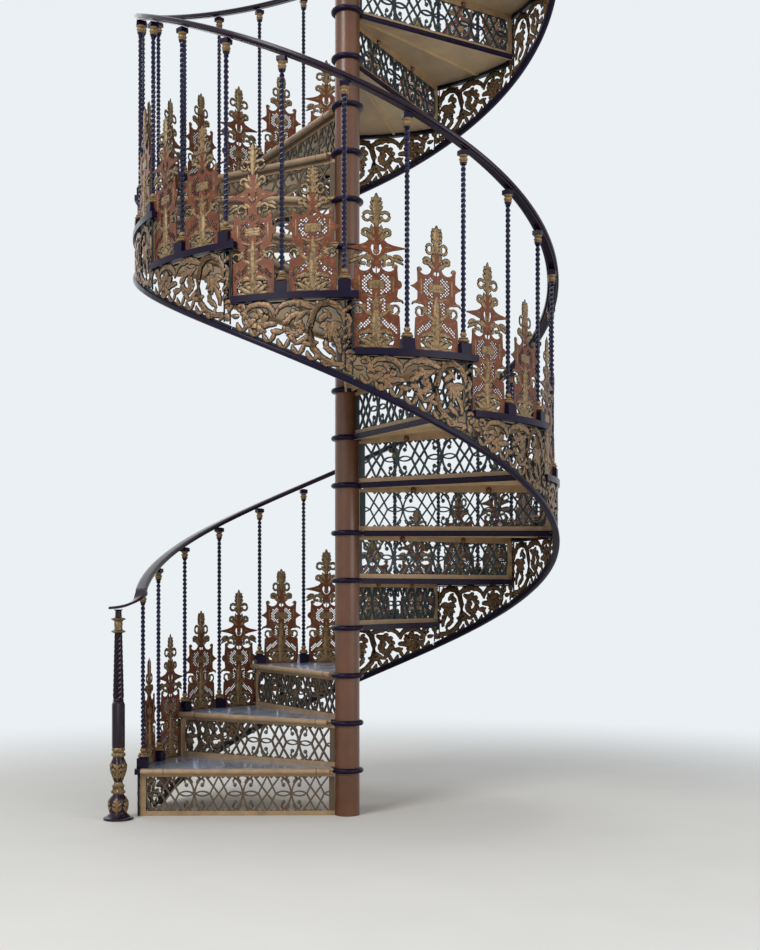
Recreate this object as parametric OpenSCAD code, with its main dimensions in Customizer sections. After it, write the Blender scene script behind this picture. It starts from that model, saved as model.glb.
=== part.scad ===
// Cast iron spiral stair, 12 treads to a turn, rising clockwise seen from above.
// Origin at the centre of the column's foot, +Z up. Tread 1 starts on the -X side.

/* [Stair] */
// Rise from one tread to the next
rise = 200; // [180:5:220]
// Number of treads
treads = 18; // [12:6:18]
// Angle that one tread turns through
turn = 30; // [28:1:30]
// Outside diameter of the column
column_d = 104; // [90:2:130]
// How far each column ring stands out
ring_out = 17; // [12:1:24]
// Height of a column ring
ring_h = 22; // [18:1:26]

/* [Treads] */
// Radius of the tread plate
plate_r = 868; // [820:4:900]
// Thickness of the tread plate
plate_t = 9; // [7:1:12]
// Width of the moulding round the outer edge
moulding_w = 22; // [16:1:28]
// Height of nosing and moulding
moulding_h = 24; // [20:1:28]
// Reach of the nosing in front of the first baluster
nosing_reach = 50; // [44:1:60]
// Reach of the tread behind the next riser's baluster line
back_reach = 10; // [6:1:14]
// Width of the ribs under a tread
rib_w = 9; // [6:1:12]

/* [Risers] */
// Thickness of a pierced riser
riser_t = 8; // [6:1:10]
// Distance of the riser in front of the baluster line
riser_offset = 12; // [8:1:16]
// Width of one bay of the riser's tracery
bay = 204; // [180:4:220]
// Height of the band above the tracery
top_band = 28; // [20:1:34]
// Height of the band below the tracery
foot_band = 19; // [14:1:24]
// Width of the upright at the riser's outer end
end_stile = 24; // [18:1:30]
// Width of a tracery bar
bar_w = 7; // [6:0.5:9]

/* [String] */
// How far the string panels stand outside the tread plates
string_out = 4; // [2:1:6]
// Thickness of the string panels
string_t = 10; // [8:1:12]
// Depth of the string rail's top below the line of the nosings
string_drop = 297; // [280:1:310]
// Reach of each string panel in front of the baluster line
string_reach = 35; // [30:1:40]
// Width of the string rail
string_rail_w = 26; // [20:1:30]
// Height of the string rail
string_rail_h = 24; // [18:1:30]

/* [Balustrade] */
// How far the baluster circle lies inside the edge of the tread plates
baluster_in = 6; // [2:1:12]
// Side of a pedestal
pedestal = 46; // [40:1:50]
// Height of a pedestal
pedestal_h = 41; // [34:1:48]
// Diameter of the twisted shaft
shaft_d = 21; // [18:1:24]
// Side of the block under the handrail
block = 40; // [34:1:44]
// Height of the handrail's underside above the line of the nosings
rail_height = 753; // [700:1:900]
// Width of the handrail
rail_w = 48; // [40:1:56]
// Thickness of the handrail
rail_h = 24; // [20:1:36]
// Thickness of the balustrade panels
panel_t = 8; // [6:1:10]

/* [Newel] */
// Diameter of the newel's foot
newel_foot_d = 124; // [110:2:140]
// Distance of the newel outside the edge of the tread plates
newel_out = 78; // [70:2:92]
// Distance of the newel in front of the first riser
newel_front = 99; // [90:1:110]
// Height of the newel's gilt vase
vase_h = 300; // [290:1:310]
// Height of the newel's eight-sided body
body_h = 192; // [170:2:210]
// Height of the newel's gilt collar and neck together
collar_h = 98; // [90:1:110]
// Height of the newel under the handrail
newel_h = 868; // [840:2:890]

/* [Hidden] */
$fn = 48;
gap = 0.3;
lip = 0.4;
flights = 3;
per_flight = treads / flights;
first_angle = 180;
column_r = column_d / 2;
ring_r = column_r + ring_out;
moulding_r = plate_r + moulding_w;
string_r = plate_r + string_out;
baluster_r = plate_r - baluster_in;
newel_r = plate_r + newel_out;
collar_z = newel_h - collar_h;
rib_rise = 4;
ring_clear = 8;
string_lap = asin(string_reach / string_r);
top_z = treads * rise;
pin_r = 13;
string_rail_foot = first_angle - turn * ((string_drop + string_rail_h) / rise - 1);
tiers = [for (i = [1:treads]) str("tread_", i < 10 ? "0" : "", i)];
parts = ["risers", "string_panels", "string_rail", "balusters", "low_panels", "tall_panels", "handrail"];

function angle_of(n) = first_angle - turn * (n - 1);
function polar(r, a) = [r * cos(a), r * sin(a)];
function first_of(f) = (f - 1) * per_flight + 1;
function last_of(f) = f * per_flight;
function line_z(a) = rise * (1 + (first_angle - a) / turn);

// Flat shapes

module bar(a, b, w) {
    translate(a) rotate(atan2(b[1] - a[1], b[0] - a[0])) translate([0, -w / 2]) square([norm(b - a), w]);
}

module sector(r, a0, a1) {
    polygon(concat([[0, 0]], [for (i = [0:4]) polar(2 * r, a0 + (a1 - a0) * i / 4)]));
}

module arc(r, w, a0, a1) {
    intersection() {
        difference() {
            circle(r + w / 2);
            circle(r - w / 2);
        }
        sector(r, a0, a1);
    }
}

module ring(r, w) {
    difference() {
        circle(r + w / 2);
        circle(r - w / 2);
    }
}

module lens(half_w, half_h) {
    r = (half_w * half_w + half_h * half_h) / (2 * half_h);
    intersection() {
        translate([0, half_h - r]) circle(r);
        translate([0, r - half_h]) circle(r);
    }
}

module lens_ring(half_w, half_h, w) {
    difference() {
        lens(half_w, half_h);
        lens(half_w - 2 * w, half_h - w);
    }
}

module both_sides() {
    children();
    mirror([1, 0]) children();
}

// Column

module column() {
    color("#7a4f3c") cylinder(r = column_r, h = top_z + rise);
}

module column_ring() {
    bead = ring_h / 2;
    rotate_extrude() difference() {
        union() {
            translate([column_r + gap, -ring_h]) square([ring_out - bead - gap, ring_h]);
            translate([ring_r - bead, -bead]) circle(bead);
        }
        translate([0, -ring_h]) square([column_r + gap, ring_h]);
    }
}

module column_rings() {
    color("#241c22") for (n = [1:treads]) translate([0, 0, n * rise]) column_ring();
}

// Treads

module tread_outline(r) {
    intersection() {
        circle(r, $fn = 96);
        polygon([
            [0, nosing_reach - moulding_h / 2],
            [2 * r, nosing_reach - moulding_h / 2],
            [2 * r, -2 * r],
            polar(2 * r, -turn) + polar(back_reach, -turn - 90),
            polar(back_reach, -turn - 90)
        ]);
    }
}

module outer_moulding() {
    front = nosing_reach + 1;
    back = string_lap - turn + 0.1;
    translate([0, 0, -moulding_h]) linear_extrude(moulding_h) intersection() {
        difference() {
            circle(moulding_r, $fn = 96);
            circle(plate_r - gap, $fn = 96);
        }
        polygon([[0, 0], polar(2 * plate_r, back), [2 * plate_r, 0], [2 * plate_r, front], [0, front]]);
    }
}

module nosing() {
    r = moulding_h / 2;
    translate([ring_r + 6, nosing_reach - r, -r - lip]) rotate([0, 90, 0]) cylinder(r = r, h = plate_r - ring_r);
}

module back_flange() {
    translate([0, 0, -moulding_h]) linear_extrude(moulding_h - plate_t) intersection() {
        tread_outline(plate_r - rib_w);
        rotate(-turn) translate([0, lip - back_reach]) square([plate_r, rib_w]);
    }
}

module tread() {
    difference() {
        union() {
            translate([0, 0, -plate_t]) linear_extrude(plate_t) tread_outline(plate_r);
            outer_moulding();
            nosing();
            back_flange();
            rotate(-turn / 2) translate([ring_r, 0, rib_rise - moulding_h]) {
                cube([plate_r - ring_r, rib_w, moulding_h - 2 * rib_rise]);
            }
        }
        translate([0, 0, -2 * moulding_h]) cylinder(r = ring_r + gap, h = 4 * moulding_h);
    }
}

module tread_at(n) {
    color("#3d4450") rotate(angle_of(n)) translate([0, 0, n * rise]) tread();
}

// Risers

module tracery_bay(half_h) {
    lozenge = bay * 0.18;
    lens_w = (bay / 2 - lozenge) / 2;
    arc_r = half_h * 1.2;
    apex = half_h * 1.05;
    past = 1.15;
    cross = [half_h * 0.74, half_h] * past;
    both_sides() {
        bar([lozenge * (past - 1), apex * past], [-lozenge, 0], bar_w);
        bar([-lozenge, 0], [lozenge * (past - 1), -apex * past], bar_w);
        bar([-cross[0], cross[1]], [cross[0], -cross[1]], bar_w);
        translate([-lozenge - lens_w + 1, 0]) lens_ring(lens_w + 3, bar_w * 1.8, bar_w * 0.8);
        translate([-bay / 2 + arc_r + bar_w / 4, 0]) arc(arc_r, bar_w, 105, 255);
    }
}

module riser() {
    inner = column_r + gap;
    outer = string_r - gap;
    h = rise - plate_t;
    pierced = h - top_band - foot_band;
    reach = outer - end_stile;
    difference() {
        translate([0, riser_offset + riser_t / 2, 0]) rotate([90, 0, 0]) linear_extrude(riser_t) {
            difference() {
                translate([inner, 0]) square([outer - inner, h]);
                translate([ring_r + ring_clear, foot_band]) square([reach - ring_r - ring_clear, pierced]);
            }
            intersection() {
                translate([ring_r, foot_band - 1]) square([reach - ring_r + 1, pierced + 2]);
                for (i = [0:3]) translate([reach - bay * (i + 0.5), foot_band + pierced / 2]) {
                    tracery_bay(pierced / 2);
                }
            }
        }
        translate([0, 0, rise - ring_h - gap]) cylinder(r = ring_r + gap, h = rise);
    }
}

module risers(f) {
    color("#a5825f") for (n = [first_of(f):last_of(f)]) {
        rotate(angle_of(n)) translate([0, 0, (n - 1) * rise]) riser();
    }
}

// String panels

module volute(r, w) {
    eye = r * 0.48;
    difference() {
        circle(r + w / 2);
        difference() {
            circle(r - w / 2);
            translate([r - w / 2 - eye + 2, 0]) circle(eye);
        }
    }
}

module string_pattern(half, drop_front, drop_back, floor_z) {
    top = -moulding_h - gap;
    intersection() {
        polygon([[half, top], [-half, top], [-half, drop_back], [half, drop_front]]);
        union() {
            translate([-half, top - 9]) square([2 * half, 9]);
            translate([-half, floor_z]) square([2 * half, 11]);
            translate([half - 34, drop_front]) square([34, top - drop_front]);
            bar([-half - 20, drop_back + 15], [half + 20, drop_front - 3], 12);
            translate([half - 23, drop_front + 34]) circle(26);
            translate([half - 122, top - 92]) rotate(60) volute(80, 14);
            translate([half - 264, top - 72]) rotate(200) volute(56, 12);
            translate([half - 364, top - 46]) rotate(60) volute(36, 10);
            translate([half - 205, top - 168]) rotate(50) lens(52, 15);
            translate([half - 72, top - 212]) rotate(25) lens(66, 17);
        }
    }
}

module string_panel(floor_z) {
    lap = 0.05;
    half = string_r * sin((turn - lap) / 2);
    mid = string_lap - (turn - lap) / 2;
    front = -string_drop + gap - rise * string_lap / turn;
    back = front + rise * (turn - lap) / turn;
    rotate(mid) intersection() {
        translate([string_r + 2 * string_t, 0, 0]) rotate([90, 0, -90]) linear_extrude(string_r) {
            mirror([1, 0]) string_pattern(half, front, back, floor_z);
        }
        translate([0, 0, floor_z]) difference() {
            cylinder(r = string_r + string_t, h = -floor_z, $fn = 96);
            translate([0, 0, -1]) cylinder(r = string_r, h = 2 - floor_z, $fn = 96);
        }
    }
}

module string_panels(f) {
    color("#9a7a50") for (n = [first_of(f):last_of(f)]) {
        rotate(angle_of(n)) translate([0, 0, n * rise]) string_panel(n == 1 ? -rise : -2 * rise);
    }
}

// Helical rails

function rail_section(w, h, c) = [
    [w / 2, 0], [w / 2 - c, h / 2], [-w / 2 + c, h / 2], [-w / 2, 0], [-w / 2 + c, -h / 2], [w / 2 - c, -h / 2]
];

module swept(rings) {
    m = len(rings[0]);
    last = len(rings) - 1;
    polyhedron(
        points = [for (ring = rings) each ring],
        faces = concat(
            [[for (i = [0:m - 1]) i]],
            [[for (i = [m - 1:-1:0]) last * m + i]],
            [for (k = [0:last - 1], i = [0:m - 1]) each [
                [k * m + i, (k + 1) * m + i, (k + 1) * m + (i + 1) % m],
                [k * m + i, (k + 1) * m + (i + 1) % m, k * m + (i + 1) % m]
            ]]
        )
    );
}

module helical_rail(r, a0, a1, lift, section) {
    steps = ceil((a0 - a1) / 7.5);
    swept([for (k = [0:steps]) let(a = a0 + (a1 - a0) * k / steps)
        [for (p = section) concat(polar(r + p[0], a), line_z(a) + lift + p[1])]]);
}

module string_rail(f) {
    start = min(angle_of(first_of(f)) + string_lap, string_rail_foot);
    end = angle_of(first_of(f) + per_flight) + string_lap + 0.02;
    color("#2e2430") helical_rail(string_r + string_t / 2, start, end,
        -string_drop - string_rail_h / 2, rail_section(string_rail_w, string_rail_h, 7));
}

module handrail(f) {
    start = angle_of(first_of(f)) + 3;
    color("#35222a") helical_rail(baluster_r, start, start - turn * per_flight + 0.02,
        rail_height + rail_h / 2, rail_section(rail_w, rail_h, 7));
}

function bezier(p, t) = pow(1 - t, 3) * p[0] + 3 * t * pow(1 - t, 2) * p[1]
    + 3 * t * t * (1 - t) * p[2] + pow(t, 3) * p[3];

module handrail_scroll() {
    start_a = 3.02;
    z0 = line_z(first_angle + start_a) + rail_height + rail_h / 2;
    z1 = newel_h + rail_h / 2;
    start = concat(polar(baluster_r, start_a), z0);
    path = [start, start + [-3, 40, -15], [newel_r - 85, newel_front + 25, z1 + 2], [newel_r + 32, newel_front - 4, z1]];
    steps = 12;
    color("#35222a") rotate(first_angle) swept([for (k = [0:steps]) let(
        t = k / steps,
        p = bezier(path, t),
        d = bezier(path, min(1, t + 0.01)) - bezier(path, max(0, t - 0.01)),
        side = k == 0 ? polar(1, start_a) : [d[1], -d[0]] / norm([d[0], d[1]])
    ) [for (q = rev(rail_section(rail_w, rail_h, 7))) [p[0] + side[0] * q[0], p[1] + side[1] * q[0], p[2] + q[1]]]]);
}

function rev(list) = [for (i = [len(list) - 1:-1:0]) list[i]];

// Balusters

module twisted_bar(d, h, lead) {
    linear_extrude(h, twist = -360 * h / lead, slices = ceil(h / lead * 5), $fn = 4) {
        square(d * 0.84, center = true);
    }
}

module baluster(underside) {
    ball = 12;
    shaft_z = pedestal_h + 42;
    shaft_top = underside - 52;
    translate([-pedestal / 2, -pedestal / 2, 0]) cube([pedestal, pedestal, pedestal_h]);
    translate([0, 0, pedestal_h]) cylinder(r = pedestal * 0.4, h = 8);
    translate([0, 0, pedestal_h + 8]) cylinder(r = pedestal * 0.48, h = 9);
    translate([0, 0, pedestal_h + 17]) cylinder(r = pedestal * 0.3, h = 6);
    translate([0, 0, pedestal_h + 32]) sphere(ball);
    translate([0, 0, shaft_z]) twisted_bar(shaft_d, shaft_top - shaft_z, 450);
    translate([0, 0, shaft_top]) cylinder(r = shaft_d * 0.6, h = 5);
    translate([0, 0, shaft_top + 15]) sphere(ball + 1);
    translate([-block / 2, -block / 2, underside - 26]) cube([block, block, 21]);
    translate([0, 0, underside - 6]) cylinder(r = pin_r, h = 6);
}

module balusters(f) {
    color("#2b2a4a") for (n = [first_of(f):last_of(f)], k = [0, 1]) {
        a = angle_of(n) - k * turn / 2;
        lean = rise * asin(pin_r / baluster_r) / turn;
        rotate(a) translate([baluster_r, 0, n * rise]) baluster(rail_height + k * rise / 2 - lean);
    }
}

// Balustrade panels, drawn flat with their base on the X axis

module leaf_finial(z) {
    translate([0, z + 62]) rotate(90) lens(62, 27);
    translate([0, z + 8]) circle(14);
    both_sides() {
        translate([-32, z + 32]) ring(17, 7);
    }
}

module lower_body() {
    difference() {
        union() {
            translate([-84, 0]) square([168, 117]);
            translate([-40, 110]) square([80, 66]);
            translate([-75, 172]) square([150, 116]);
        }
        both_sides() {
            translate([0, 232]) arc(36, 14, 105, 245);
            translate([-32, 44]) arc(26, 15, 40, 215);
            translate([-54, 92]) rotate(30) lens(24, 6);
            translate([-23, 146]) rotate(80) lens(20, 5);
        }
    }
    both_sides() {
        translate([-62, 145]) ring(25, 8);
        polygon([[-74, 172], [-94, 178], [-74, 186]]);
    }
}

module low_pattern() {
    difference() {
        union() {
            lower_body();
            translate([-22, 280]) square([44, 60]);
        }
        both_sides() translate([-45, 300]) circle(25);
    }
    both_sides() {
        translate([-69, 293]) circle(9);
        polygon([[-74, 214], [-104, 229], [-104, 233], [-74, 248]]);
        translate([-38, 321]) ring(16, 8);
    }
    leaf_finial(334);
}

module tall_pattern() {
    lower_body();
    both_sides() {
        translate([-76, 230]) circle(17);
        translate([-67, 294]) circle(10);
        translate([-46, 307]) ring(26, 10);
        translate([-36, 409]) ring(22, 9);
    }
    difference() {
        union() {
            translate([-18, 280]) square([36, 66]);
            translate([-16, 370]) square([32, 80]);
            both_sides() polygon([[1, 334], [-104, 355], [-104, 363], [1, 388]]);
        }
        both_sides() translate([-10, 356]) rotate(75) lens(20, 7);
    }
    leaf_finial(434);
}

module panel_at(n, part) {
    a = angle_of(n) - turn * (part + 0.5) / 2;
    rotate(a) translate([baluster_r - panel_t / 2, 0, n * rise]) rotate([90, 0, 90]) linear_extrude(panel_t) {
        children();
    }
}

module low_panels(f) {
    color("#96553c") for (n = [first_of(f):last_of(f)]) panel_at(n, 0) low_pattern();
}

module tall_panels(f) {
    color("#96553c") for (n = [first_of(f):last_of(f)]) panel_at(n, 1) tall_pattern();
}

// Newel

module newel_place(z) {
    rotate(first_angle) translate([newel_r, newel_front, z]) children();
}

module newel_foot() {
    r = newel_foot_d / 2;
    color("#b98c5a") newel_place(0) rotate_extrude() polygon([
        [0, 0], [r, 0], [r, 8], [r - 12, 16], [r - 30, 24], [22, 34], [30, 50], [36, 72], [33, 92], [22, 104],
        [24, 120], [22, 134], [26, 140], [22, 150], [16, 158], [24, 176], [32, 204], [33, 228], [26, 252],
        [22, 262], [28, 272], [28, 282], [22, 288], [24, vase_h], [0, vase_h]
    ]);
}

module newel_shaft() {
    pinch = 8;
    twist_z = body_h + pinch;
    color("#2f2028") newel_place(vase_h) {
        cylinder(r = 26, h = body_h, $fn = 8);
        translate([0, 0, body_h]) cylinder(r = 20, h = pinch);
        translate([0, 0, twist_z]) twisted_bar(38, collar_z - vase_h - twist_z, 360);
    }
}

module newel_neck() {
    h = collar_h;
    color("#b98c5a") newel_place(collar_z) rotate_extrude() polygon([
        [0, 0], [17, 0], [24, 8], [19, 16], [22, 24], [22, 40], [19, 48], [26, 56], [14, 62],
        [13, h - 8], [20, h], [0, h]
    ]);
}

column();
column_rings();
for (n = [1:treads]) {
    tread_at(n);
}
for (f = [1:flights]) {
    risers(f);
    string_panels(f);
    string_rail(f);
    balusters(f);
    low_panels(f);
    tall_panels(f);
    handrail(f);
}
handrail_scroll();
newel_foot();
newel_shaft();
newel_neck();
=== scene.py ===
"""Dresses the cast iron spiral stair: enamel and gilt finishes, scrolled panels, rope balusters and rails."""
from math import atan2, ceil, copysign, cos, degrees, pi, radians, sin

import bmesh
import bpy
from bpy.props import FloatProperty, FloatVectorProperty, PointerProperty
from mathutils import Matrix, Vector


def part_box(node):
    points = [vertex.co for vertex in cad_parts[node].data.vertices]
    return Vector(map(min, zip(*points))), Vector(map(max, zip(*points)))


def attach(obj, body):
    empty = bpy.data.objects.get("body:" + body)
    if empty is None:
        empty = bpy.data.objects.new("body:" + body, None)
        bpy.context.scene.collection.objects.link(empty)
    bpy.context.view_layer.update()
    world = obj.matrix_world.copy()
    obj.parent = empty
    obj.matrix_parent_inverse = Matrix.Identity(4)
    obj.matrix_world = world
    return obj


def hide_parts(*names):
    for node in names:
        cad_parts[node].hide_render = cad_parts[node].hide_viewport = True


bl_info = {
    "name": "Cast Iron Spiral Stair",
    "version": (1, 0, 0),
    "blender": (4, 5, 0),
    "location": "3D View > Sidebar > Stair",
    "description": "Builds the ornament and finishes of a cast iron spiral stair",
    "category": "Add Mesh",
}

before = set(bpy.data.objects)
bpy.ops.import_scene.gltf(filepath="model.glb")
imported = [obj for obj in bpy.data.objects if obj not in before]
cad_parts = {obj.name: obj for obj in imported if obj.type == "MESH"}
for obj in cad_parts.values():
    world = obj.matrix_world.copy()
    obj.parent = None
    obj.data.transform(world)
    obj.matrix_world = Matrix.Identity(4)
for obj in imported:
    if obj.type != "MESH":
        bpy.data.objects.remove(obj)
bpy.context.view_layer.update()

MM = 0.001

# Read from the frame, lengths in millimetres
TREADS = len([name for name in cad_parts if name.startswith("tread_")])
RISE = (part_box("tread_02")[1].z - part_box("tread_01")[1].z) / MM

# What the frame's boxes do not give, lengths in millimetres and angles in degrees
TURN = 30.0
FLIGHTS = 3
PER_FLIGHT = TREADS // FLIGHTS
BALUSTER_R = 862.0
MOULDING_R = 890.0
NOSING_REACH = 50.0
NOSING_R = 12.0
STRING_R = 877.0
STRING_LAP = 2.3
RAIL_HEIGHT = 753.0
STRING_DROP = 297.0
RISER_OUTER = 847.7
RISER_FACE = 12.0
BAY = 204.0
FOOT_BAND = 19.0
PIERCED = 144.0
NEWEL = Vector((-946.0, -99.0, 0.0))

# Colour of the pale surroundings, as light
BACKDROP = (0.83, 0.87, 0.9, 1)


def linear(colour):
    """Turns an sRGB hex colour into linear red, green and blue."""
    values = [int(colour[i:i + 2], 16) / 255 for i in (1, 3, 5)]
    return [v / 12.92 if v <= 0.04045 else ((v + 0.055) / 1.055) ** 2.4 for v in values]


def swatch(name, colour):
    return FloatVectorProperty(name=name, description=f"Colour of the {name.lower()}", subtype="COLOR",
                               size=3, min=0, max=1, default=linear(colour))


class StairSizes(bpy.types.PropertyGroup):
    twist_pitch: FloatProperty(name="Twist pitch", description="Height of one full turn of a baluster's rope",
                               default=38 * MM, min=0.02, unit="LENGTH")
    shaft: FloatProperty(name="Shaft", description="Diameter of a baluster's rope",
                         default=21 * MM, min=0.01, unit="LENGTH")
    plate: FloatProperty(name="Panel plate", description="Thickness of a leaf panel's plate",
                         default=4 * MM, min=0.002, unit="LENGTH")
    relief: FloatProperty(name="Relief", description="How far the cast relief stands out of the plates",
                          default=0.6, min=0.2, max=1)


class StairColours(bpy.types.PropertyGroup):
    column: swatch("Column", "#643C22")
    moulding: swatch("Mouldings", "#180E28")
    # Slate paint made pale blue: a painted reflection of bright light on the plates
    tread: swatch("Tread plates", "#A9C1E6")
    bronze: swatch("Risers", "#AC8E6C")
    # Tan lightened to paint the light that a pale floor throws up under the treads
    tan: swatch("Undersides", "#C6AB84")
    copper: swatch("Leaf panels", "#683822")
    gilt: swatch("Gilding", "#8E724A")
    foliage: swatch("String panels", "#8C6A45")
    indigo: swatch("Balusters", "#0F0C34")
    rail: swatch("Handrail", "#200F1F")
    floor: swatch("Floor", "#E9E6DF")


# Materials


def feed(item, links):
    """Sets a node's inputs to values or joins them to other nodes' outputs."""
    for key, value in links.items():
        socket = item.inputs[key]
        if isinstance(value, bpy.types.NodeSocket):
            item.id_data.links.new(value, socket)
        else:
            socket.default_value = value


def add(tree, kind, links=None, **settings):
    """Adds a shader node of a kind with its settings, then its inputs as `feed` takes them."""
    item = tree.nodes.new("ShaderNode" + kind)
    for key, value in settings.items():
        setattr(item, key, value)
    feed(item, links or {})
    return item


def maths(tree, operation, *values):
    return add(tree, "Math", dict(enumerate(values)), operation=operation).outputs[0]


def vectors(tree, operation, *values):
    """Vector maths, which ends in a plain value for a length or a dot product."""
    item = add(tree, "VectorMath", dict(enumerate(values)), operation=operation)
    return item.outputs["Value" if operation in ("LENGTH", "DOT_PRODUCT") else "Vector"]


def noise(tree, place, grain_mm, detail, roughness=0.5):
    return add(tree, "TexNoise", {"Vector": place, "Scale": 1 / (grain_mm * MM), "Detail": detail,
                                  "Roughness": roughness}).outputs["Fac"]


def remapped(tree, value, low, high, start=0.0, end=1.0, kind="LINEAR"):
    """Maps low to `start` and high to `end`."""
    return add(tree, "MapRange", {"Value": value, "From Min": low, "From Max": high, "To Min": start,
                                  "To Max": end}, interpolation_type=kind).outputs["Result"]


def blend(tree, factor, a, b):
    """Colour `a` where the factor is 0, `b` where it is 1."""
    return add(tree, "Mix", {"Factor": factor, "A": a, "B": b}, data_type="RGBA").outputs["Result"]


def shades(tree, factor, stops):
    """A colour ramp of (place, colour) stops read at `factor`."""
    ramp = add(tree, "ValToRGB", {"Fac": factor})
    while len(ramp.color_ramp.elements) < len(stops):
        ramp.color_ramp.elements.new(0.5)
    for element, (place, colour) in zip(ramp.color_ramp.elements, stops):
        element.position = place
        element.color = (*colour, 1)
    return ramp.outputs["Color"]


def tinted(colour, gain):
    return [min(1, c * gain) for c in colour]


def facing(tree, about=(0, 0), onward=False):
    """How squarely a face looks away from the upright axis `about`, or onward round it, from -1 to 1."""
    spot = add(tree, "TexCoord")
    place = vectors(tree, "SUBTRACT", spot.outputs["Object"], (about[0] * MM, about[1] * MM, 0))
    way = vectors(tree, "MULTIPLY", place, (1, 1, 0))
    if onward:
        way = vectors(tree, "CROSS_PRODUCT", (0, 0, 1), way)
    return vectors(tree, "DOT_PRODUCT", spot.outputs["Normal"], vectors(tree, "NORMALIZE", way))


def new_finish(name):
    """A material with its node tree, its shader and the object's coordinates."""
    material = bpy.data.materials.new(name)
    material.use_nodes = True
    tree = material.node_tree
    return material, tree, tree.nodes["Principled BSDF"], add(tree, "TexCoord").outputs["Object"]


def paint(name, colour, roughness, grain_mm, contrast, metallic=0.0, shine=0.5, coat=0.0, haze=0.12, bump=0.0,
          wear_and_painted_sheen=None, painted_shade=None, about=(0, 0), crease_shade_mm=0):
    """Brushed paint over cast iron: mottled colour, uneven gloss and the casting's grain under it.

    Random patches show `wear_and_painted_sheen`: wear, and on the treads a painted sheen. `painted_shade` is
    painted shade on flanks as seen from the upright axis `about`, and on thin noise lines of grain
    `crease_shade_mm` that stand for creases.
    """
    material, tree, shader, place = new_finish(name)
    wear_and_painted_sheen, painted_shade = (linear(tone) if tone else None for tone in (wear_and_painted_sheen, painted_shade))
    mottle = noise(tree, place, grain_mm, 4, 0.6)
    base = shades(tree, mottle, [(0.3, tinted(colour, 1 - contrast)), (0.52, colour),
                                 (0.75, tinted(colour, 1 + contrast))])
    # Random patches: wear, and on the treads paler patches that paint a sheen of reflected light
    if wear_and_painted_sheen:
        patches = noise(tree, place, grain_mm * 0.35, 6, 0.7)
        base = blend(tree, remapped(tree, patches, 0.52, 0.68), base, (*wear_and_painted_sheen, 1))
    # Painted shade on the flanks, the faces that look sideways from the axis about
    if painted_shade:
        square = maths(tree, "ABSOLUTE", facing(tree, about))
        base = blend(tree, remapped(tree, square, 0.35, 0.75), (*painted_shade, 1), base)
    # Painted shade along thin noise lines that stand for creases
    if crease_shade_mm:
        folds = maths(tree, "ABSOLUTE", maths(tree, "SUBTRACT", noise(tree, place, crease_shade_mm, 2), 0.5))
        base = blend(tree, remapped(tree, folds, 0.008, 0.05, start=0.2), (*painted_shade, 1), base)
    gloss = remapped(tree, mottle, 0.3, 0.7, roughness * 0.8, min(1, roughness * 1.25))
    feed(shader, {"Base Color": base, "Roughness": gloss, "Metallic": metallic, "Specular IOR Level": shine,
                  "Coat Weight": coat, "Coat Roughness": haze})
    if bump:
        grain = add(tree, "Bump", {"Height": noise(tree, place, 4, 3), "Strength": bump, "Distance": 0.6 * MM})
        feed(shader, {"Normal": grain.outputs["Normal"]})
    return material


def darken_tracery(material, dark, dull):
    """Painted shade, a dark grey, on the sides and backs of the pierced bars, and a darker bronze on their fronts.
    """
    tree = material.node_tree
    shader = tree.nodes["Principled BSDF"]
    base = shader.inputs["Base Color"].links[0].from_socket
    place = add(tree, "TexCoord").outputs["Object"]
    height = add(tree, "SeparateXYZ", {"Vector": place}).outputs["Z"]
    height = maths(tree, "FLOORED_MODULO", height, RISE * MM)
    height = maths(tree, "COMPARE", height, (FOOT_BAND + PIERCED / 2) * MM, PIERCED / 2 * MM)
    radius = vectors(tree, "LENGTH", vectors(tree, "MULTIPLY", place, (1, 1, 0)))
    within = maths(tree, "LESS_THAN", radius, (RISER_OUTER - 0.5) * MM)
    pierced = maths(tree, "MULTIPLY", height, within)
    front = maths(tree, "GREATER_THAN", facing(tree, onward=True), 0.6)
    bars = blend(tree, front, (*dark, 1), (*dull, 1))
    feed(shader, {"Base Color": blend(tree, pierced, base, bars)})


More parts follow.
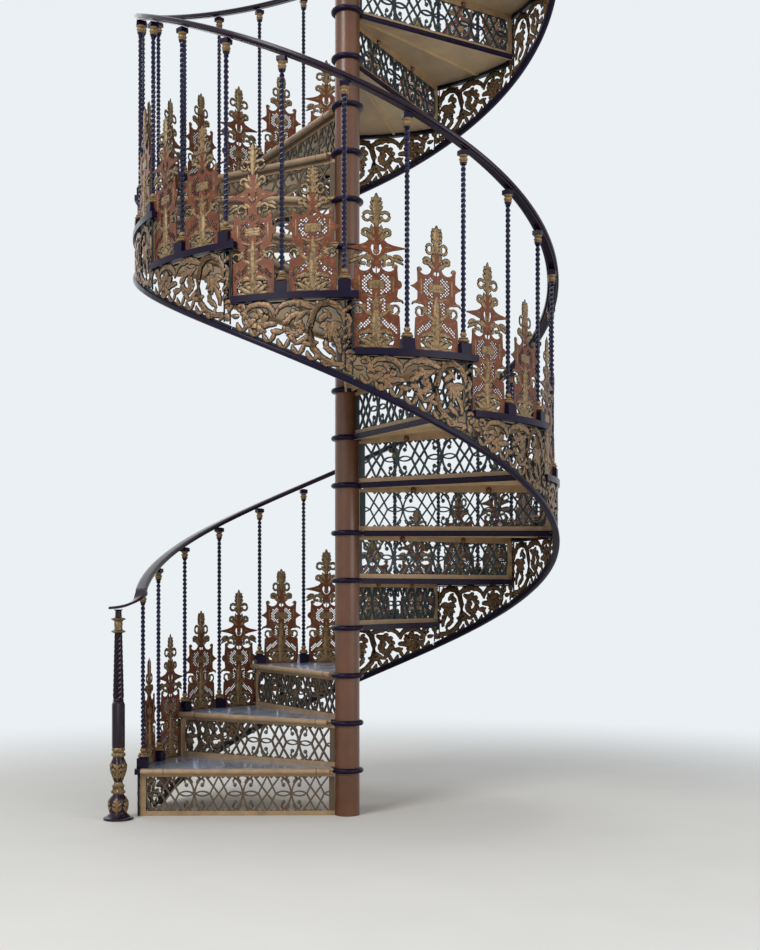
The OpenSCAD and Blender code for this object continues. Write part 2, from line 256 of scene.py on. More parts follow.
def finishes():
    """Every finish of the stair by name, made once."""
    c = bpy.context.scene.stair_colours
    if "column_enamel" in bpy.data.materials:
        return bpy.data.materials
    # Stove enamel rubbed by hands: satin brown with slow streaks
    paint("column_enamel", c.column, 0.36, 110, 0.22, coat=0.15)
    # Gloss enamel on turned mouldings: nearly black with an aubergine cast
    paint("moulding_enamel", c.moulding, 0.32, 60, 0.2, shine=0.15)
    # Gloss paint on the walked plates: a wet shine. Its pale blue and its paler soft patches paint a reflection of
    # bright light; the patches are scuffs as well
    paint("tread_enamel", c.tread, 0.3, 120, 0.3, metallic=0.5, coat=1, haze=0.2, wear_and_painted_sheen="#D2E3F8")
    # Bronze paint brushed on sand castings: tan with dark worn patches
    cast = dict(colour=c.bronze, roughness=0.42, grain_mm=45, contrast=0.2, metallic=0.2, shine=0.35, bump=0.3)
    paint("riser_bronze", **cast)
    # The same paint on the risers, with painted shade on the sides and backs of the bars in their pierced field
    darken_tracery(paint("tracery_bronze", **cast), linear("#333D3E"), tinted(c.bronze, 0.3))
    # Flat tan paint on the rough undersides, made lighter as painted light thrown up from the floor
    paint("underside_bronze", c.tan, 0.5, 120, 0.18, metallic=0.1, shine=0.35, bump=0.2)
    # Copper red paint on the flat plates of the panels
    paint("panel_copper_red", c.copper, 0.45, 30, 0.3, metallic=0.2, shine=0.3, bump=0.2, wear_and_painted_sheen="#8E5A38")
    # Gilding brushed over relief: bright on top, brown where it has worn thin, painted shade on the flanks and
    # along painted creases
    paint("relief_gilding", c.gilt, 0.42, 14, 0.3, metallic=0.3, bump=0.4, wear_and_painted_sheen="#674A30",
          painted_shade="#3A3428", crease_shade_mm=20)
    # Smoother gilding on turned knops and on the newel, with painted shade on the flanks of the newel's leaves and
    # along painted creases
    turned = dict(colour=c.gilt, roughness=0.36, grain_mm=14, contrast=0.3, metallic=0.3, bump=0.3)
    paint("turned_gilding", wear_and_painted_sheen="#54423A", **turned)
    paint("newel_gilding", wear_and_painted_sheen="#5E452E", painted_shade="#33291F", about=NEWEL.xy, crease_shade_mm=20, **turned)
    # Bronze paint on the leafwork of the string, rubbed through to the dark iron in patches, with painted shade on
    # the flanks of the leaves and along painted creases
    paint("string_bronze", c.foliage, 0.4, 16, 0.35, metallic=0.3, bump=0.4, wear_and_painted_sheen="#453D38",
          painted_shade="#1E242B", crease_shade_mm=17)
    # Gloss indigo enamel on the rope shafts
    paint("baluster_enamel", c.indigo, 0.18, 40, 0.25, shine=0.32)
    # Gloss brown black enamel polished by hands
    paint("handrail_enamel", c.rail, 0.26, 70, 0.2, shine=0.28)
    # Dark paint that lines the relief: painted shade at the edges of the copper and gilding and between the
    # string's leaves, partly the casting's own dark edge; it also colours the string's border strips
    paint("patina_and_painted_shade", linear("#23282B"), 0.5, 20, 0.3, shine=0.2)
    return bpy.data.materials


def placed(name, data):
    """A new object in the scene."""
    item = bpy.data.objects.new(name, data)
    bpy.context.scene.collection.objects.link(item)
    return item


# Shapes, drawn in millimetres


def as_mesh(bm):
    mesh = bpy.data.meshes.new("part")
    bm.to_mesh(mesh)
    bm.free()
    return mesh


def circle(segments, radius, height):
    """A ring of vertices, to be wound or extruded."""
    bm = bmesh.new()
    bmesh.ops.create_circle(bm, segments=segments, radius=radius)
    bmesh.ops.translate(bm, vec=(0, 0, height), verts=bm.verts)
    return bm


def closed(bm):
    """Fills the open ends and turns the faces outwards."""
    bmesh.ops.holes_fill(bm, edges=[e for e in bm.edges if e.is_boundary], sides=0)
    bmesh.ops.recalc_face_normals(bm, faces=bm.faces)
    return as_mesh(bm)


def wind(bm, angle, climb, steps):
    """Spins what is drawn round the Z axis while it climbs."""
    bmesh.ops.spin(bm, geom=bm.verts[:] + bm.edges[:], cent=(0, 0, 0), axis=(0, 0, 1), angle=angle, steps=steps,
                   dvec=(0, 0, climb / steps))


def extruded(bm, ring):
    """Extrudes a ring of edges; gives the new ring's vertices and edges."""
    made = bmesh.ops.extrude_edge_only(bm, edges=ring)["geom"]
    verts = [g for g in made if isinstance(g, bmesh.types.BMVert)]
    return verts, [g for g in made if isinstance(g, bmesh.types.BMEdge) and all(v in verts for v in g.verts)]


def drawn(points, ring=True):
    """A line of (across, up) points in the XZ plane, as a ring unless told otherwise; gives its edges too."""
    bm = bmesh.new()
    verts = [bm.verts.new((x, 0, z)) for x, z in points]
    return bm, [bm.edges.new(pair) for pair in zip(verts, verts[1:] + verts[:ring])]


def lathe(profile, steps=24):
    """Turns a profile of (radius, height) points round the Z axis."""
    bm, edges = drawn(profile, ring=False)
    bmesh.ops.spin(bm, geom=bm.verts[:] + edges, cent=(0, 0, 0), axis=(0, 0, 1), angle=2 * pi, steps=steps,
                   use_merge=True)
    bmesh.ops.remove_doubles(bm, verts=bm.verts, dist=0.01)
    bmesh.ops.recalc_face_normals(bm, faces=bm.faces)
    return as_mesh(bm)


def block(width, depth, low, high, edge=1.5):
    """A square block with softened edges, standing on the height `low`."""
    bm = bmesh.new()
    bmesh.ops.create_cube(bm, size=1)
    bmesh.ops.scale(bm, vec=(width, depth, high - low), verts=bm.verts)
    bmesh.ops.translate(bm, vec=(0, 0, (low + high) / 2), verts=bm.verts)
    bmesh.ops.bevel(bm, geom=bm.edges[:], offset=edge, segments=1, profile=0.5, affect="EDGES", material=-1)
    return as_mesh(bm)


def rope(diameter, pitch, low, high, steps_per_turn=8):
    """A shaft of two strands twisted round each other."""
    bm = circle(6, diameter / 2, low)
    bmesh.ops.scale(bm, vec=(1, 0.55, 1), verts=bm.verts)
    turns = (high - low) / pitch
    wind(bm, 2 * pi * turns, high - low, ceil(turns * steps_per_turn))
    return closed(bm)


def helical_rail(section, radius, start, end, lift, degrees_per_step=1.5):
    """Sweeps a section of (outward, up) points up the stair's helix between two angles in degrees."""
    base = RISE * (1 + (180 - start) / TURN) + lift
    bm, _ = drawn([(radius + out, base + up) for out, up in section])
    bmesh.ops.rotate(bm, cent=(0, 0, 0), matrix=Matrix.Rotation(radians(start), 3, "Z"), verts=bm.verts)
    wind(bm, radians(end - start), RISE * (start - end) / TURN, ceil((start - end) / degrees_per_step))
    return closed(bm)


def sweep(section, stations):
    """Carries a section, drawn in the XZ plane, through a list of matrices and closes both ends."""
    bm, ring = drawn(section)
    bmesh.ops.transform(bm, matrix=stations[0], verts=bm.verts)
    for before, after in zip(stations, stations[1:]):
        verts, ring = extruded(bm, ring)
        bmesh.ops.transform(bm, matrix=after @ before.inverted(), verts=verts)
    return closed(bm)


def curve_mesh(rows, cyclic=False, **settings):
    """The mesh of a curve through rows of (x, y, z, radius) points."""
    curve = bpy.data.curves.new("curve", "CURVE")
    for key, value in settings.items():
        setattr(curve, key, value)
    for row in rows:
        spline = curve.splines.new("POLY")
        spline.points.add(len(row) - 1)
        spline.use_cyclic_u = cyclic
        for point, (x, y, z, radius) in zip(spline.points, row):
            point.co = (x, y, z, 1)
            point.radius = radius
    holder = placed("curve", curve)
    graph = bpy.context.evaluated_depsgraph_get()
    mesh = bpy.data.meshes.new_from_object(holder.evaluated_get(graph))
    bpy.data.objects.remove(holder)
    bpy.data.curves.remove(curve)
    return mesh


def turning(loop):
    """Positive for a loop of points that runs anticlockwise."""
    return sum(a[0] * b[1] - b[0] * a[1] for a, b in zip(loop, loop[1:] + loop[:1]))


def pierced_plate(outline, holes, thickness, inset=0.0):
    """A flat plate in the XZ plane, from closed outlines of (x, z) points drawn in by `inset`."""
    loops = [outline if turning(outline) > 0 else outline[::-1]]
    loops += [hole[::-1] if turning(hole) > 0 else hole for hole in holes]
    mesh = curve_mesh([[(x, z, 0, 1) for x, z in loop] for loop in loops], cyclic=True, dimensions="2D",
                      fill_mode="BOTH", extrude=thickness / 2, offset=-inset)
    mesh.transform(Matrix.Rotation(pi / 2, 4, "X"))
    return mesh


def relief(strokes, flatness=None, swell=0.0, sides=1):
    """Cast strokes in the XZ plane; each is a list of (x, z, half width) points. Wide ones lie flatter."""
    rows = [[(x, 0, z, half_width + swell) for x, z, half_width in stroke] for stroke in strokes]
    mesh = curve_mesh(rows, dimensions="3D", twist_mode="Z_UP", bevel_depth=1, bevel_resolution=sides,
                      use_fill_caps=True)
    share = flatness or bpy.context.scene.stair_sizes.relief
    for v in mesh.vertices:
        v.co.y = copysign(2 * share * abs(v.co.y) ** 0.65, v.co.y)
    return mesh


# Ornament: strokes are (x, z, half width) points, loops are (x, z) points


def scroll(x, z, radius, start, turn, width, inner=0.3, bead=1.5):
    """A volute that winds inward from `start` through `turn` degrees and ends in a bead."""
    count = max(5, ceil(abs(turn) / 30))
    points = []
    for i in range(count + 1):
        t = i / count
        r = radius * (1 - t * (1 - inner))
        a = radians(start + turn * t)
        points.append((x + r * cos(a), z + r * sin(a), width * (1 - 0.4 * t)))
    x, z, _ = points[-1]
    return points + [(x + on * width * sin(a), z - on * width * cos(a), half)
                     for on, half in ((0.6, width * bead * 0.8), (1.8, width * 0.2))]


def frond(x, z, length, heading, curl, width, count=5):
    """A leaf lobe that grows from a point, swells and curls over to a tip."""
    points = [(x, z, width * 0.45)]
    for i in range(1, count + 1):
        t = i / count
        a = radians(heading + curl * (t - 0.5 / count))
        x += length / count * cos(a)
        z += length / count * sin(a)
        points.append((x, z, width * (0.08 + sin(pi * (0.12 + 0.88 * t)))))
    return points


def fronds(*rows):
    return [frond(*row) for row in rows]


def spray(x, z, length, heading, lobes, spread, width):
    """Leaf lobes fanned about a heading, the outer ones shorter and curling away."""
    shares = [2 * i / (lobes - 1) - 1 for i in range(lobes)]
    return [frond(x, z, length * (1 - 0.35 * abs(t)), heading + spread * t, 55 * t, width) for t in shares]


def leafy(spine, reach, width, side=1, gap=1):
    """A spine with leaf lobes that grow from one side of it and shrink towards its end."""
    made = [spine]
    for before, at in list(zip(spine, spine[1:]))[0:-3:gap]:
        heading = degrees(atan2(at[1] - before[1], at[0] - before[0]))
        made.append(frond(at[0], at[1], reach, heading + side * 58, side * -50, width, count=4))
        reach *= 0.92
    return made


def mirrored(strokes):
    return strokes + [[(-x, z, w) for x, z, w in stroke] for stroke in strokes]


def arc(x, z, radius_x, radius_z, start, end, count):
    steps = [radians(start + (end - start) * i / (count - 1)) for i in range(count)]
    return [(x + radius_x * cos(a), z + radius_z * sin(a)) for a in steps]


def diamond(x, z, half):
    return [(x - half, z), (x, z - half), (x + half, z), (x, z + half)]


def both_loops(loops):
    return loops + [[(-x, z) for x, z in reversed(loop)] for loop in loops]


def whole_outline(right_side):
    """Closes a right half, listed upwards, with its mirror image."""
    return right_side + [(-x, z) for x, z in reversed(right_side) if x > 0.01]


# Putting pieces together


def seat(number, fraction=0.0, turned=0.0):
    """The place of tread `number`, turned on by a fraction of its angle; X points outward."""
    angle = 180 - TURN * (number - 1 + fraction) + turned
    return Matrix.Rotation(radians(angle), 4, "Z") @ Matrix.Translation((0, 0, number * RISE))


def flight(number):
    return range((number - 1) * PER_FLIGHT + 1, number * PER_FLIGHT + 1)


def bend(mesh, radius):
    """Wraps a flat mesh, X across and Z up, round a cylinder: X becomes arc length."""
    for v in mesh.vertices:
        angle = v.co.x / radius
        r = radius - v.co.y
        v.co = (r * cos(angle), r * sin(angle), v.co.z)


def united(meshes):
    """One mesh in place of several, which are used up."""
    bm = bmesh.new()
    for mesh in meshes:
        bm.from_mesh(mesh)
        bpy.data.meshes.remove(mesh)
    return as_mesh(bm)


def joined(parts, places=(Matrix.Identity(4),)):
    """One mesh of a unit's (mesh, material number) parts, repeated at every place."""
    for mesh, number in parts:
        for polygon in mesh.polygons:
            polygon.material_index = number
    copies = []
    for place in places:
        for mesh, _ in parts:
            copies.append(mesh.copy())
            copies[-1].transform(place)
    return united(copies)


def coat(mesh, names):
    """Adds finishes to a mesh, in the order of its material numbers."""
    for name in names:
        mesh.materials.append(finishes()[name])


def make_piece(name, mesh, materials, nodes=()):
    """Turns a mesh in millimetres into a finished piece that rides on the stair."""
    mesh.transform(Matrix.Diagonal((MM, MM, MM, 1)))
    mesh.name = name
    coat(mesh, materials)
    mesh.shade_smooth()
    mesh.set_sharp_from_angle(angle=radians(40))
    item = placed(name, mesh)
    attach(item, "root")
    if nodes:
        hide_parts(*nodes)


def make_flights(name, unit, stand, materials, kind=None, fraction=0.0):
    """A piece for each flight, with a unit at every tread, in place of the frame's nodes of a kind."""
    for number in range(1, FLIGHTS + 1):
        places = [seat(n, fraction) @ stand for n in flight(number)]
        make_piece(f"{name}_{number}", joined(unit, places), materials, [f"{kind}_{number}"] if kind else ())


class StairOperator(bpy.types.Operator):
    """Base of the stair's operators"""
    bl_idname = "stair.base"
    bl_label = "Stair base"

    def execute(self, context):
        self.build(context)
        return {"FINISHED"}


class STAIR_OT_castings(StairOperator):
    """Paint the castings that come from the frame"""
    bl_idname = "stair.castings"
    bl_label = "Castings"

    # Width of a tread's outer moulding, reach of its back moulding and radius of its boss, in millimetres
    outer_band, back_reach, boss_r = 24, 8, 100

    # Upward part of the normal: on the nosing's crest, on level faces and on upright ones
    crest, level, upright = 0.98, 0.9, 0.5

    def build(self, context):
        for name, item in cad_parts.items():
            item.data.materials.clear()  # resets the faces' material numbers too
            if name.startswith("tread_"):
                self.paint_tread(item, int(name[-2:]))
            elif name.startswith("risers_"):
                coat(item.data, ["tracery_bronze"])
            else:
                coat(item.data, ["column_enamel" if name == "column" else "moulding_enamel"])

    def paint_tread(self, item, number):
        """Plate tops, nosing, mouldings and underside each get their own finish."""
        coat(item.data, ["tread_enamel", "riser_bronze", "moulding_enamel", "underside_bronze"])
        top, nosing, moulding, underside = range(4)
        into = seat(number).inverted()
        for polygon in item.data.polygons:
            spot = into @ (polygon.center / MM)
            up = polygon.normal.z
            if spot.xy.length > MOULDING_R - self.outer_band:
                kind = moulding
            elif spot.y > NOSING_REACH - NOSING_R - 0.5 and up < self.crest:
                kind = nosing
            elif up > self.level:
                kind = top
            elif spot.y < 0 and abs(up) < self.upright and spot.x > self.boss_r and self.is_back(spot):
                kind = moulding
            else:
                kind = underside
            polygon.material_index = kind

    def is_back(self, spot):
        """True on the moulded edge that faces the next tread."""
        return (Matrix.Rotation(radians(TURN), 4, "Z") @ spot).y < -self.back_reach


class STAIR_OT_balusters(StairOperator):
    """Make the rope balusters with their pedestals, gilt knops and blocks"""
    bl_idname = "stair.balusters"
    bl_label = "Balusters"

    # How far the blocks stay below the line of the sloping rail, in millimetres
    clearance = 6.5

    def build(self, context):
        sizes = context.scene.stair_sizes
        for number in range(1, FLIGHTS + 1):
            meshes = []
            for fraction in (0, 0.5):
                underside = RAIL_HEIGHT + fraction * RISE - self.clearance
                unit = self.baluster(underside, sizes.shaft / MM, sizes.twist_pitch / MM)
                places = [seat(n, fraction) @ Matrix.Translation((BALUSTER_R, 0, 0)) for n in flight(number)]
                meshes.append(joined(unit, places))
            make_piece(f"rope_balusters_{number}", united(meshes),
                       ["baluster_enamel", "turned_gilding", "moulding_enamel"],
                       [f"balusters_{number}"])

    def baluster(self, underside, shaft, pitch):
        """Pedestal, rope, gilt ball and knop, and the block that meets the rail's underside."""
        foot = 41
        top = underside - 52
        blocks = [block(46, 46, 0, foot), block(34, 34, underside - 20, underside - 2)]
        enamel = [
            self.turned(foot, [(0, 0), (17, 0), (18, 1.5), (16, 3), (0, 3)], 16),
            rope(shaft, pitch, foot + 40, top),
            self.turned(top, [(0, -3), (12, -2), (13, 1), (10, 4), (0, 4)], 12),
            self.turned(underside, [(13, -7), (13, 0)], 12),
        ]
        gilt = [
            self.turned(foot, [(0, 2), (16, 2.5), (21, 5), (23, 9), (21, 13), (16, 15), (19, 18), (17, 21),
                               (11, 23), (0, 25)], 16),
            self.turned(foot, [(0, 23), (7, 24), (11, 28), (12.5, 33), (11, 38), (7, 42), (0, 43)], 14),
            self.turned(top, [(0, 3), (13, 4), (15, 7), (12, 10), (16, 15), (16, 19), (11, 24), (15, 28), (17, 32),
                              (0, 33)], 14),
        ]
        return [(mesh, number) for number, group in enumerate((enamel, gilt, blocks)) for mesh in group]

    def turned(self, base, profile, steps):
        return lathe([(r, base + z) for r, z in profile], steps)


class STAIR_OT_leaf_panels(StairOperator):
    """Make the copper red leaf panels that stand between the balusters"""
    bl_idname = "stair.leaf_panels"
    bl_label = "Leaf panels"

    def build(self, context):
        thickness = context.scene.stair_sizes.plate / MM
        kinds = (("low_panels", 0.25, self.low_panel()), ("tall_panels", 0.75, self.tall_panel()))
        stand = Matrix.Translation((BALUSTER_R, 0, 0)) @ Matrix.Rotation(-pi / 2, 4, "Z")
        for kind, fraction, (outline, holes, strokes) in kinds:
            # A dark plate and swollen strokes lie under the copper and gilding and show as a dark line at their
            # edges: painted shade, partly the casting's own dark edge
            unit = [(pierced_plate(outline, holes, thickness, inset=0.5), 0), (relief(strokes), 1),
                    (pierced_plate(outline, holes, thickness - 0.8), 2),
                    (relief(strokes, flatness=0.42, swell=2.0, sides=0), 2)]
            make_flights(f"leaf_{kind}", unit, stand, ["panel_copper_red", "relief_gilding", "patina_and_painted_shade"],
                         kind, fraction)

    def body_side(self):
        """Right edge of the part that both panels share, from the foot up to the cartouche."""
        waist = arc(90, 147, 52, 26, 235, 125, 9)
        return [(84, 0), (87, 58), (84, 118), (76, 124)] + waist + [(80, 172), (94, 176), (80, 181), (75, 188)]

    def body_holes(self):
        """Openings of the shared part: the foot's arch, and diaper holes on a diagonal grid."""
        loops = [[(10, 8), (56, 8), (64, 26), (62, 44), (50, 58), (34, 68), (10, 72)]]
        for row in range(9, 45):
            for column in range(8):
                x, z = 12 * column + 6 * (row % 2), 6 * row
                if x and self.is_pierced(x, z):
                    loops.append(diamond(x, z, 4.2))
        return both_loops(loops)

    def is_pierced(self, x, z):
        """True in the ring round the plaque, beside the stem and in the slanting bands."""
        plaque = x < 31 and abs(z - 229) < 16
        ring = x > 14 and (x / 49) ** 4 + (abs(z - 231) / 34) ** 4 < 1 and not plaque
        beside = 19 < x < 32 and 128 < z < 170 or 13 < x < 32 and 170 <= z < 190
        slanting = 17 < x < 74 and abs(z - 113 + 0.62 * x) < 11
        return ring or beside or slanting

    def body_strokes(self):
        """Gilded relief of the shared part."""
        stem = [[(0, z, w) for z, w in ((6, 8), (24, 11), (48, 16), (78, 17), (108, 16), (138, 13), (166, 12.5),
                                        (180, 9), (198, 5))]]
        plaque = [[(x, z, w) for x, w in ((-30, 2), (-28, 6), (0, 7), (28, 6), (30, 2))] for z in (220, 229, 238)]
        foot = [*fronds((8, 56, 50, 48, -120, 8.5), (10, 46, 36, 12, -70, 6)),
                scroll(47, 50, 11, 100, -280, 4.5, inner=0.25),
                *fronds((0, 14, 42, 58, -44, 8), (6, 10, 60, 12, 40, 9), (22, 6, 44, 4, 8, 6)),
                [(40, 34, 2), (52, 29, 3), (62, 36, 3), (70, 50, 2)]]
        waist = [scroll(65, 144, 21, -80, 290, 3.6, inner=0.25), *spray(40, 148, 32, -12, 4, 58, 6),
                 [(64, 172, 3), (80, 175, 3.2), (92, 172, 2.6), (98, 164, 1)]]
        leaves = fronds((6, 110, 46, 44, -26, 6.5), (8, 92, 24, 62, -50, 5), (8, 74, 24, 66, -50, 5),
                        (6, 156, 24, 58, -50, 4.5))
        bars = [[(61, 202, 2), (61, 205, 4.6), (61, 258, 4.6), (61, 261, 2)],
                [(4, 184, 3), (22, 186, 4), (40, 194, 3)], [(18, 274, 2), (32, 272, 3), (46, 266, 2)]]
        edge = [[(78, 6, 2), (80, 58, 2.4), (78, 112, 2)], [(70, 182, 1.6), (70, 206, 2)]]
        return stem + plaque + mirrored(foot + waist + leaves + bars + edge)

    def low_panel(self):
        """Outline, openings and relief of the panel over a tread's front half."""
        point = [(75, 214), (88, 224), (104, 231), (88, 238), (75, 250), (76, 284)]
        curl = arc(70, 292, 8, 8, -20, 228, 7)
        bite = arc(45, 300, 25, 25, 320, 195, 8)
        neck = [(16, 312), (21, 328), (13, 346), (8, 366), (0, 372)]
        outline = whole_outline(self.body_side() + point + curl + bite + neck)
        holes = self.body_holes() + both_loops([[(1.8, 271), (12, 279), (10, 288), (5, 286), (1.8, 293)]])
        sides = [scroll(70, 291, 8, 200, -290, 3.6, inner=0.4),
                 *leafy(scroll(42, 322, 17, 205, -300, 6.5), 13, 5.5, side=-1, gap=2),
                 *fronds((8, 300, 38, 20, 50, 7), (8, 322, 34, 56, 40, 6)),
                 [(x, z, 4) for x, z in arc(28, 369, 13, 17, 190, -150, 11)], frond(6, 352, 26, 40, 30, 5)]
        return outline, holes, self.body_strokes() + self.finial(366, 90, sides)

    def tall_panel(self):
        """The same for the panel with cross arms over a tread's back half."""
        lug = arc(76, 230, 17, 17, -80, 80, 7)
        top = [(76, 284)] + arc(69, 292, 8, 8, -20, 228, 7)
        bite = arc(44, 300, 26, 24, 320, 190, 8)
        arms = [(19, 326), (30, 340), (60, 349), (104, 357), (104, 361), (62, 369), (40, 377), (26, 390),
                (17, 412), (10, 434), (0, 444)]
        outline = whole_outline(self.body_side() + lug + top + bite + arms)
        heart = [(2, 332), (13, 340), (20, 358), (16, 372), (10, 370), (10, 358), (3, 350)]
        holes = self.body_holes() + both_loops([[(2, 268), (12, 276), (14, 288), (6, 285), (2, 296)], heart])
        sides = [scroll(69, 292, 8, 200, -290, 3.6, inner=0.4),
                 *leafy(scroll(48, 310, 25, 225, -320, 6), 15, 5, side=-1, gap=2),
                 *fronds((60, 330, 42, 8, -60, 6.5), (56, 322, 48, -12, -30, 5.5), (10, 316, 36, 30, 20, 7)),
                 *leafy(scroll(40, 410, 21, 225, -310, 5.5), 14, 5, side=-1, gap=2),
                 *fronds((8, 386, 42, 24, 50, 7.5), (8, 406, 38, 56, 40, 6), (28, 361, 34, 0, 0, 3.6)),
                 scroll(32, 470, 17, 150, -300, 5.4, inner=0.8, bead=1.2),
                 *fronds((6, 446, 28, 40, 30, 5), (2, 338, 24, 60, 40, 4))]
        return outline, holes, self.body_strokes() + self.finial(446, 108, sides)

    def finial(self, base, height, sides):
        """The bud that crowns a panel: a midrib inside saw-edged lobes that close at the tip."""
        profile = ((-0.13, 6), (0, 9), (0.12, 12), (0.24, 11), (0.4, 14), (0.64, 14), (0.84, 8), (1, 1))
        rib = [[(0, base + share * height, half) for share, half in profile]]
        for share, reach in ((0.04, 17), (0.3, 20), (0.46, 22), (0.62, 20), (0.77, 15)):
            sides.append(frond(6, base + share * height, reach, 12, 55, 5.5, count=4))
        return rib + mirrored(sides)


class STAIR_OT_riser_scrolls(StairOperator):
    """Make the beaded hooks and leaf cusps in the risers' tracery"""
    bl_idname = "stair.riser_scrolls"
    bl_label = "Riser scrolls"

    def build(self, context):
        unit = [(relief(self.strokes(), flatness=0.75), 0)]
        stand = Matrix.Translation((0, RISER_FACE, -RISE))
        make_flights("riser_scrolls", unit, stand, ["tracery_bronze"])

    def strokes(self):
        """Hooks beside every border and cusps along the bands, out to the column."""
        hook = ((8, 44, 3.4), (12, 56, 4), (22, 64, 4.8), (34, 63, 5.2), (41, 54, 5), (39, 44, 5))
        bead = ((36, 44, 4), (34, 40, 8.6), (33, 34, 9.4), (33, 28, 4))
        cusp = ((-9, 74, 2), (0, 67, 4), (9, 74, 2))
        middle = FOOT_BAND + PIERCED / 2
        made = []
        for border in range(5):
            x0 = RISER_OUTER - BAY * border
            for side, up in ((-1, -1), (-1, 1), (1, -1), (1, 1)):
                made += [[(x0 + side * x, middle + up * z, w) for x, z, w in stroke] for stroke in (hook, bead)]
                made += [[(x0 + side * reach + x, middle + up * z, w) for x, z, w in cusp]
                         for reach in (18, 62, 84)]
        return [s for s in made if all(90 < x < RISER_OUTER - 4 for x, _, _ in s)]


class STAIR_OT_string_scrolls(StairOperator):
    """Make the acanthus string panels under the treads' outer edge"""
    bl_idname = "stair.string_scrolls"
    bl_label = "String scrolls"

    def build(self, context):
        strokes = self.strokes()
        # The swollen copy of the leaves in dark paint fills the gaps between them: painted shade; the border
        # strips share that dark paint
        unit = [(relief(strokes, flatness=0.62), 0), (relief(strokes, flatness=0.3, swell=3.2, sides=0), 1),
                (self.border(), 1)]
        for mesh, _ in unit:
            bend(mesh, STRING_R)
        middle = STRING_LAP - TURN / 2
        first = self.trimmed(unit)
        for number in range(1, FLIGHTS + 1):
            places = [seat(n, turned=middle) for n in flight(number)]
            if number == 1:
                mesh = united([joined(unit, places[1:]), joined(first, places[:1])])
            else:
                mesh = joined(unit, places)
            make_piece(f"string_scrolls_{number}", mesh, ["string_bronze", "patina_and_painted_shade"],
                       [f"string_panels_{number}"])

    def trimmed(self, unit):
        """The first panel, cut off at the floor."""
        made = []
        for mesh, number in unit:
            bm = bmesh.new()
            bm.from_mesh(mesh)
            cut = bmesh.ops.bisect_plane(bm, geom=bm.verts[:] + bm.edges[:] + bm.faces[:],
                                         plane_co=(0, 0, -RISE + 0.5), plane_no=(0, 0, -1), clear_outer=True)
            edges = [g for g in cut["geom_cut"] if isinstance(g, bmesh.types.BMEdge)]
            bmesh.ops.holes_fill(bm, edges=edges, sides=0)
            made.append((as_mesh(bm), number))
        return made

    def foot_height(self, x):
        """Height of the strip that rests on the string rail, falling towards the tall end."""
        return -110.5 - (x + 226) * 197 / 452

    def border(self):
        """Top and bottom strips and the fluted stile at the tall end."""
        top = [[(-226, -28, 3.6), (226, -28, 3.6)]]
        foot = [[(x, self.foot_height(x), 6) for x in (-226, 0, 226)]]
        stile = [[(x, -30, 3.4), (x, -296 + (222 - x) * 0.44, 3.4)] for x in (197, 223)]
        return relief(top + foot + stile, flatness=0.8)

    def strokes(self):
        """Scrolls and leaves from the tall end at the right to the low end at the left."""
        sweep_in = [(194, -112, 4), (190, -82, 9), (172, -54, 11), (142, -40, 12), (108, -46, 12), (86, -72, 11),
                    (74, -114, 11), (72, -158, 11), (84, -202, 10), (112, -234, 10), (150, -256, 9),
                    (192, -260, 8)]
        stile = [(211, -34, 7), (213, -58, 11), (208, -80, 8), (214, -104, 11), (208, -128, 8), (214, -152, 11),
                 (209, -176, 8), (212, -204, 5)]
        over_volute = [(70, -40, 4), (40, -38, 9), (8, -36, 10), (-22, -42, 9), (-44, -56, 7), (-54, -76, 4)]
        over_rosette = [(-58, -88, 4), (-64, -62, 9), (-84, -42, 11), (-118, -34, 11), (-152, -40, 9),
                        (-176, -62, 5)]
        made = [
            # Tall end: a stem that loops round a spray, and the stile
            sweep_in, scroll(213, -226, 20, -95, 430, 8, inner=0.2),
            *leafy(sweep_in[1:11], 22, 7, side=-1), *leafy(sweep_in[2:10], 20, 6.5),
            [(138, -80, 5), (124, -88, 11), (112, -98, 11), (106, -106, 4)], *spray(140, -74, 40, 220, 3, 40, 6),
            *fronds((148, -116, 48, 8, -50, 9), (148, -116, 46, 172, 50, 9)),
            *spray(146, -122, 60, -94, 5, 58, 9),
            *fronds((150, -150, 84, -48, -40, 9), (132, -150, 78, -110, 60, 8), (120, -196, 58, -20, -40, 8),
                    (176, -168, 56, -84, -20, 7), (170, -60, 40, -70, 50, 7)),
            stile, *fronds(*((206, z, 26, 205, 60, 6) for z in (-60, -92, -124, -156, -188))),
            [(205, -256, 4), (209, -264, 11), (213, -274, 13), (216, -284, 5)], frond(200, -262, 34, 196, 40, 7),
            # Middle: a leafy volute
            *leafy(scroll(22, -122, 46, 62, 330, 12), 27, 9.5, side=-1),
            *spray(26, -122, 34, 20, 4, 90, 8),
            *fronds((62, -70, 66, 196, 60, 9), (66, -152, 64, 236, -50, 8), (60, -186, 44, 20, -30, 7),
                    (40, -176, 60, 330, 40, 8), (92, -60, 120, 164, -24, 11)), *leafy(over_volute, 24, 8),
            # Low end: a leafy rosette
            *fronds(*((-118 + 12 * cos(radians(a)), -98 + 12 * sin(radians(a)), 46, a + 20, 95, 11)
                      for a in range(0, 360, 51))),
            [(-108, -92, 4), (-112, -98, 10), (-120, -102, 10), (-126, -106, 3)], *leafy(over_rosette, 20, 7),
            *fronds((-48, -112, 52, 160, 60, 9), (-30, -138, 46, 200, -60, 8), (-62, -130, 44, 330, 40, 7)),
        ]
        # Leaves that stand on the foot strip
        for x in (-184, -132, -78, -24, 30, 84, 136):
            root = self.foot_height(x) + 3
            made += fronds((x, root, 46, 30, 70, 7), (x - 2, root, 42, 152, -62, 7.5))
        return [*made, scroll(-192, -44, 15, -20, 400, 7), *spray(-166, -66, 34, 200, 4, 60, 8),
                *fronds((-198, -70, 34, 195, -50, 7), (-150, -112, 44, 160, -30, 8), (-4, -154, 44, 330, -50, 8))]


